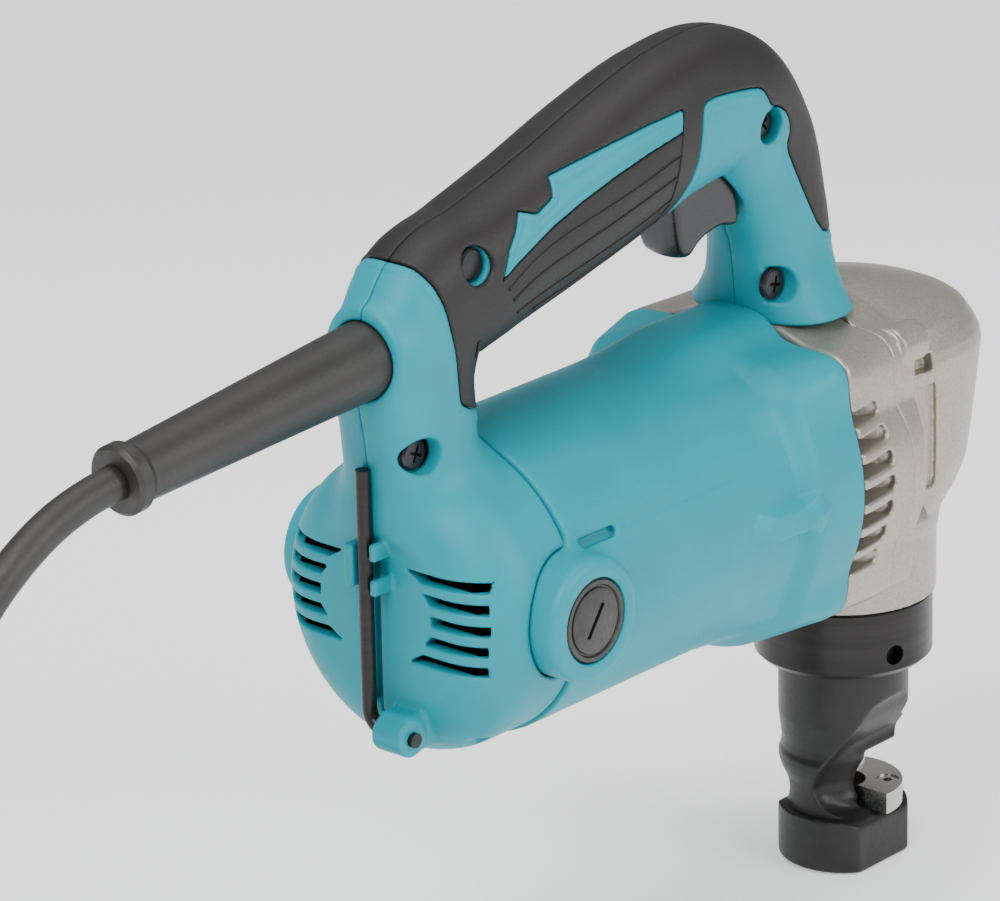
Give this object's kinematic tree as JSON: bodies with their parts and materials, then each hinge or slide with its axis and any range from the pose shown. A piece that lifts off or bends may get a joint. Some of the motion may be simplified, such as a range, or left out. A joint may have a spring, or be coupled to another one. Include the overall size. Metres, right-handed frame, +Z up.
{
  "type": "electric nibbler",
  "caption": "Electric sheet-metal nibbler: upright punch and die nose, gear head, round motor housing and closed D grip with trigger, cord guard and mains cord.",
  "frame": {"origin": "middle of the die holder's foot, on the punch axis, at the lowest point of the tool", "axes": "+X forward from the motor to the nose, +Y to the left, +Z up along the punch"},
  "size_m": [0.383, 0.1564, 0.2454],
  "materials": {
    "teal_plastic": "fine matte moulded glass-filled nylon",
    "black_elastomer": "soft satin overmoulded elastomer",
    "silver_casting": "warm silver metallic paint on an aluminium casting",
    "black_screw": "black zinc plated",
    "blackened_steel": "black oxide, turned and ground",
    "tool_steel": "ground hardened tool steel",
    "machined_steel": "machined steel",
    "bearing_steel": "polished bearing steel",
    "bronze": "sintered bronze and stamped brass",
    "copper": "copper winding and commutator bars",
    "carbon": "pressed carbon",
    "black_plastic": "satin black moulding",
    "white_board": "pressed board",
    "cord_rubber": "matt black rubber",
    "plated_brass": "nickel plated brass"
  },
  "bodies": {
    "housing": {"motor_housing": "teal_plastic", "handle_right": "teal_plastic", "handle_left": "teal_plastic", "grip_skin_right": "black_elastomer", "grip_skin_left": "black_elastomer", "bearing_box": "silver_casting", "gear_housing": "silver_casting", "housing_screws": "black_screw", "handle_screws": "black_screw", "plunger_sleeve": "bronze", "crank_bearing_rear": "bearing_steel", "crank_bearing_front": "bearing_steel", "layshaft_bearings": "bearing_steel", "armature_bearing_rear": "bearing_steel", "armature_bearing_front": "bearing_steel", "stator_core": "machined_steel", "field_coils": "copper", "fan_baffle": "white_board", "brush_holders": "bronze", "carbon_brushes": "carbon", "brush_springs": "bearing_steel", "brush_caps": "black_plastic", "switch": "black_plastic", "cord_guard": "cord_rubber", "cord_clamp": "black_plastic", "cord_clamp_screws": "bearing_steel", "cord": "cord_rubber", "cord_coil": "cord_rubber", "cord_tail": "cord_rubber", "cord_tie": "black_plastic", "plug": "cord_rubber", "plug_pins": "plated_brass"},
    "armature": {"armature_shaft": "machined_steel", "armature_core": "copper", "commutator": "copper", "fan": "black_plastic"},
    "layshaft_group": {"layshaft": "machined_steel", "mid_gear": "machined_steel"},
    "crank": {"crankshaft": "machined_steel", "crank_gear": "machined_steel"},
    "plunger_group": {"plunger": "machined_steel", "wrist_pin": "machined_steel"},
    "rod": {"connecting_rod": "machined_steel"},
    "die_group": {"die_holder": "blackened_steel", "die": "tool_steel", "die_screws": "tool_steel"},
    "punch_body": {"punch": "tool_steel"},
    "nut": {"lock_nut": "blackened_steel"},
    "trigger_body": {"trigger": "black_plastic"},
    "lock_body": {"lock_button": "black_plastic"},
    "key": {"hex_key": "blackened_steel"}
  },
  "joints": [
    {"name": "armature_spin", "type": "hinge", "parent": "housing", "child": "armature", "pos_m": [-0.1, 0, 0.1257], "axis": [1, 0, 0], "continuous": true},
    {"name": "layshaft_spin", "type": "hinge", "parent": "housing", "child": "layshaft_group", "pos_m": [-0.026, 0, 0.1449], "axis": [1, 0, 0], "continuous": true},
    {"name": "crank_spin", "type": "hinge", "parent": "housing", "child": "crank", "pos_m": [-0.01, 0, 0.1257], "axis": [1, 0, 0], "continuous": true},
    {"name": "plunger_slide", "type": "slide", "parent": "housing", "child": "plunger_group", "axis": [0, 0, 1], "range_m": [-0.006, 0]},
    {"name": "punch_slide", "type": "slide", "parent": "die_group", "child": "punch_body", "axis": [0, 0, 1], "range_m": [-0.006, 0]},
    {"name": "rod_swing", "type": "hinge", "parent": "plunger_group", "child": "rod", "pos_m": [0, 0, 0.1047], "axis": [1, 0, 0], "range_deg": [-7, 7]},
    {"name": "die_holder_turn", "type": "hinge", "parent": "housing", "child": "die_group", "pos_m": [0, 0, 0.05], "axis": [0, 0, 1], "range_deg": [-90, 180]},
    {"name": "lock_nut_turn", "type": "hinge", "parent": "housing", "child": "nut", "pos_m": [0, 0, 0.068], "axis": [0, 0, 1], "range_deg": [0, 120]},
    {"name": "trigger_pull", "type": "slide", "parent": "housing", "child": "trigger_body", "axis": [-0.2079, 0, 0.9781], "range_m": [0, 0.005], "stiffness_N_per_m": 800, "springref_m": -0.004},
    {"name": "lock_button_press", "type": "slide", "parent": "housing", "child": "lock_body", "axis": [0, -1, 0], "range_m": [0, 0.0025], "stiffness_N_per_m": 500, "springref_m": -0.002},
    {"name": "hex_key_swing", "type": "hinge", "parent": "housing", "child": "key", "pos_m": [-0.1882, -0.009, 0.098], "axis": [0, -1, 0], "range_deg": [0, 60]}
  ],
  "couplings": [
    {"joint": "layshaft_spin", "follows": "armature_spin", "ratio": -0.17073},
    {"joint": "crank_spin", "follows": "armature_spin", "ratio": 0.044929},
    {"joint": "punch_slide", "follows": "plunger_slide", "ratio": 1}
  ]
}
